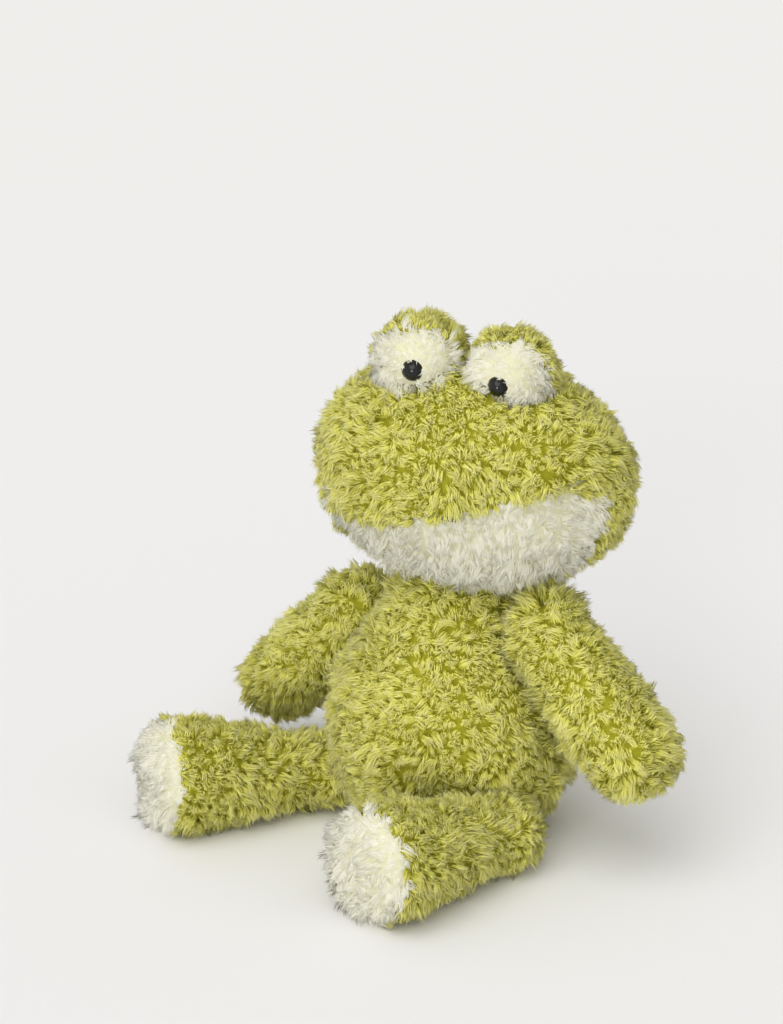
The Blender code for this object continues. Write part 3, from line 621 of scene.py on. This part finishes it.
def tufts_at(roots, rng):
    """The middle line of each tuft as three control points, with its normal and its lock's radius."""
    normals = roots.normals
    each = (len(normals), 1)
    aside, _ = across_of(normals, rng)
    groomed = grooming(roots.places)
    groomed = unit(groomed - normals * (groomed * normals).sum(1, keepdims=True))
    down = np.array([0.0, 0.0, -1.0]) + normals * normals[:, 2:3]
    way = unit(groomed * GROOM_SHARE + aside * (1 - GROOM_SHARE))
    amount = np.abs(rng.normal(TUFT_LEAN, TUFT_LEAN_SPREAD, each))
    lean = (way * amount + down * TUFT_DROOP) * roots.lengths + roots.away
    rise = (BACKING_DEPTH + TUFT_PROUD + rng.normal(0, TUFT_PROUD_SPREAD, each)) * roots.lengths
    low = roots.places - normals * BACKING_DEPTH
    middle = low + normals * rise * TUFT_BEND_RISE_SHARE + lean * TUFT_BEND_LEAN_SHARE
    high = low + normals * rise + lean
    thickness = LOCK_FIXED_SHARE + (1 - LOCK_FIXED_SHARE) * roots.lengths
    radius = (LOCK_RADIUS + rng.normal(0, LOCK_RADIUS_SPREAD, each)) * thickness
    return Tufts(low, middle, high, normals, np.maximum(radius, LOCK_RADIUS * LOCK_LEAST_SHARE))


def along_tufts(tufts, t):
    """Points on the tufts' middle lines, and the directions there, at shares t of their length."""
    low, middle, high = (line[:, None, None] for line in (tufts.low, tufts.middle, tufts.high))
    points = (1 - t) ** 2 * low + 2 * t * (1 - t) * middle + t**2 * high
    return points, unit((1 - t) * (middle - low) + t * (high - middle))


def strand_lines(tufts, rng):
    """The base and tip of each strand, their shares of its lock, and how it lies round the lock."""
    count = len(tufts.low)
    shape = (count, STRANDS_IN_TUFT, 1, 1)
    _, along = along_tufts(tufts, np.full((count, 1, 1, 1), LOCK_HEADING_SHARE))
    first, second = across_of(along, rng)
    ring = np.sqrt(rng.uniform(*STRAND_RING_SHARES, shape))
    angle = rng.uniform(0, 2 * math.pi, shape)
    radial = (first * np.cos(angle) + second * np.sin(angle)) * ring
    start = rng.uniform(*STRAND_START_SHARES, shape)
    end = start + rng.uniform(*STRAND_LENGTH_SHARES, shape)
    radius = tufts.radius[:, None, None]
    narrowing = LOCK_WIDEST_SHARE + (LOCK_TIP_SHARE - LOCK_WIDEST_SHARE) * end / STRAND_TO_SHARE
    base = along_tufts(tufts, start)[0] + radial * radius * LOCK_START_SHARE
    tip = along_tufts(tufts, end)[0] + radial * radius * narrowing
    tip += rng.normal(size=tip.shape) * STRAND_FRIZZ
    return base, tip, start[..., 0], end[..., 0], radial


def strands(tufts, tones, rng):
    """Corners, shading directions, tones and reach of fine spikes that point along their lock.

    A closed spike never shows its back, so it is lit alike from every side.
    """
    base, tip, start, end, radial = strand_lines(tufts, rng)
    side, across = across_of(unit(tip - base), rng)
    turn = (2 * math.pi * np.arange(STRAND_SIDES) / STRAND_SIDES)[None, None, :, None]
    round_base = side * np.cos(turn) + across * np.sin(turn)
    corners = np.concatenate([base + round_base * STRAND_WIDTH / 2, tip], 2)
    corners[..., 2] = np.maximum(corners[..., 2], FLOOR_REST)
    outward = radial * LOCK_ROUNDNESS + tufts.normals[:, None, None]
    ways = unit(np.concatenate([outward + round_base * STRAND_ROUNDNESS, outward], 2))
    reach = np.concatenate([np.repeat(start, STRAND_SIDES, 2), end], 2) / STRAND_TO_SHARE
    own_tone = rng.normal(0, STRAND_TONE_SPREAD_SHARE, (len(tones), STRANDS_IN_TUFT))
    tone = np.clip(tones[:, None] + own_tone, 0, 1).reshape(-1, 1)
    per = STRAND_SIDES + 1
    tone = np.repeat(tone, per, 1)
    return corners.reshape(-1, per, 3), ways.reshape(-1, per, 3), tone, reach.reshape(-1, per)


def pile_mesh(name, corners, ways, tone, reach):
    """One mesh of all the strands, whose map runs across by tone and up by reach."""
    items, per, _ = corners.shape
    faces = np.array([(side, (side + 1) % STRAND_SIDES, STRAND_SIDES) for side in range(STRAND_SIDES)])
    loops = (faces[None] + (np.arange(items) * per)[:, None, None]).ravel()
    mesh = bpy.data.meshes.new(name)
    mesh.vertices.add(items * per)
    mesh.vertices.foreach_set("co", corners.astype(np.float32).ravel())
    mesh.loops.add(len(loops))
    mesh.loops.foreach_set("vertex_index", loops.astype(np.int32))
    mesh.polygons.add(len(loops) // 3)
    mesh.polygons.foreach_set("loop_start", np.arange(0, len(loops), 3, dtype=np.int32))
    mesh.update(calc_edges=True)
    give_values(mesh, "tone", tone.ravel())
    give_values(mesh, "reach", reach.ravel())
    spread = np.append(np.linspace(-1, 1, STRAND_SIDES), 0) * MAP_STRAND_SHARE
    u = tone * (1 - 2 * MAP_MARGIN_SHARE) + MAP_MARGIN_SHARE + spread[None]
    on_map = np.stack([u.ravel(), reach.ravel()], 1)[loops]
    layer = mesh.uv_layers.new(name="OFBake")
    layer.uv.foreach_set("vector", on_map.astype(np.float32).ravel())
    mesh.shade_smooth()
    mesh.normals_split_custom_set_from_vertices(ways.reshape(-1, 3).tolist())
    return mesh


def mouth_droop(places):
    """How far the pile's colours hang below the mouth's seam, as offsets to test each place at."""
    across = unit(middle_of("eye_left_stuffing") - middle_of("eye_right_stuffing"))
    aside = (places - middle_of("head_stuffing")) @ across
    low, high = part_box("head_stuffing")
    droop = np.interp(aside / np.abs(aside).max(), MOUTH_ASIDE_SHARES, MOUTH_DROOP_SHARES)
    offsets = np.zeros_like(places)
    offsets[:, 2] = droop * (high[2] - low[2])
    return offsets


def build_pile(form, roots, panel_trees, materials, rng):
    """The pile of each panel of a form. A root belongs to the panel that it lies nearest to."""
    tested = roots.places
    if "jaw_panel" in form.panels:
        tested = tested + mouth_droop(tested)
    owner = np.array([nearest(place, panel_trees) for place in tested.tolist()])
    for index, panel in enumerate(form.panels):
        mine = np.flatnonzero(owner == index)
        kind = "cream" if panel in CREAM_NODES else "green"
        parts = math.ceil(len(mine) * STRANDS_IN_TUFT * STRAND_SIDES / MOST_FACES)
        for number, part in enumerate(np.array_split(mine, parts), 1):
            tones = np.clip(rng.normal(TUFT_TONE_SHARE, TUFT_TONE_SPREAD_SHARE, len(part)), 0, 1)
            tufts = tufts_at(picked(roots, part), rng)
            name = f"{panel.removesuffix('_panel')}_pile_{number}"
            mesh = pile_mesh(name, *strands(tufts, tones, rng))
            obj = add_piece(name, mesh, materials[kind], form.body)
            # Pale fine fibres let lamp light through, so there the backing alone casts the shadow.
            obj.visible_shadow = kind != "cream"
            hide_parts(panel)


# Buttons and small parts

def button_lines():
    """The middle of each button and its outward direction, which runs from its washer to it."""
    lines = []
    for side in SIDES:
        button = middle_of(f"eye_{side}_button")
        washer = middle_of(f"eye_{side}_washer")
        lines.append((button, unit(button - washer)))
    return lines


def dome_mesh(name, points, centre, axis):
    """A smooth dome on a short rim, as wide and as deep as the points that it stands for."""
    offset = points - centre
    height = offset @ axis
    radius = np.linalg.norm(offset - axis * height[:, None], axis=1).max()
    rim = height.min() + BUTTON_RIM
    rings = [(radius, height.min())]
    for angle in np.linspace(0, math.pi / 2, BUTTON_RINGS)[:-1]:
        rings.append((radius * math.cos(angle), rim + (height.max() - rim) * math.sin(angle)))
    first, second = across_of(axis, np.random.default_rng(SEED))
    bm = bmesh.new()
    loops = []
    for reach, rise in rings:
        loop = []
        for turn in 2 * math.pi * np.arange(BUTTON_SEGMENTS) / BUTTON_SEGMENTS:
            spoke = first * math.cos(turn) + second * math.sin(turn)
            loop.append(bm.verts.new(centre + axis * rise + spoke * reach))
        loops.append(loop)
    top = bm.verts.new(centre + axis * height.max())
    for lower, upper in zip(loops, loops[1:]):
        for k in range(BUTTON_SEGMENTS):
            after = (k + 1) % BUTTON_SEGMENTS
            bm.faces.new((lower[k], lower[after], upper[after], upper[k]))
    for k in range(BUTTON_SEGMENTS):
        bm.faces.new((loops[-1][k], loops[-1][(k + 1) % BUTTON_SEGMENTS], top))
    bm.faces.new(loops[0][::-1])
    bmesh.ops.recalc_face_normals(bm, faces=bm.faces)
    mesh = mesh_of(bm, name)
    mesh.shade_smooth()
    return mesh


def build_buttons(lines, material):
    """Smooth domed buttons in place of the faceted solids."""
    for side, (centre, axis) in zip(SIDES, lines):
        node = f"eye_{side}_button"
        points, _, _ = arrays_of(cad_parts[node].data)
        mesh = dome_mesh(f"{node}_dome", points, centre, axis)
        obj = add_piece(f"{node}_dome", mesh, material, "head")
        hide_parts(node)


def dress_small_parts():
    """The materials of the washers and threads, which show as the solids that they are."""
    looks = {
        "washer": grained_material("moulded_washer", WASHER_COLOUR),
        "stitch": grained_material("mouth_thread", MOUTH_THREAD_COLOUR),
        "thread": grained_material("sewing_thread", SEWING_THREAD_COLOUR),
    }
    for name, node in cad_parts.items():
        for ending, look in looks.items():
            if name.endswith(ending):
                node.material_slots[0].material = look


# The whole frog

def build_plush():
    """Every stuffed form with its pile and backing, and the buttons."""
    rng = np.random.default_rng(SEED)
    materials = {
        "green": fur_material("green_pile", GREEN_PAINTED_SHADE_ALONG, GREEN_DARK_TINT),
        "cream": fur_material("cream_pile", CREAM_PAINTED_SHADE_ALONG, CREAM_DARK_TINT),
    }
    lines = button_lines()
    build_buttons(lines, button_material())
    forms = stuffed_forms()
    meshes = {name: closed_form(name, form) for name, form in forms.items()}
    trees = {name: tree_of(mesh) for name, mesh in meshes.items()}
    for name, form in forms.items():
        roots = roots_on(name, form, meshes[name], trees, lines, rng)
        panel_trees = [tree_of(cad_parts[panel].data) for panel in form.panels]
        build_pile(form, roots, panel_trees, materials, rng)
        build_backing(name, form, meshes[name], panel_trees, materials)


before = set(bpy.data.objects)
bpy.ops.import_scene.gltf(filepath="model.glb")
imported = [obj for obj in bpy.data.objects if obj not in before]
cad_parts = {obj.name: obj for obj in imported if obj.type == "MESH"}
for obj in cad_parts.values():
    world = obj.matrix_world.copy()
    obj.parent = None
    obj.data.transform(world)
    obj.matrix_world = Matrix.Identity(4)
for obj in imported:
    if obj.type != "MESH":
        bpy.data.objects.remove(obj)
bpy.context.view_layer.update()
bpy.context.scene.view_settings.view_transform = "Standard"
build_world()
build_stage()
build_lights()
build_camera()
build_plush()
dress_small_parts()
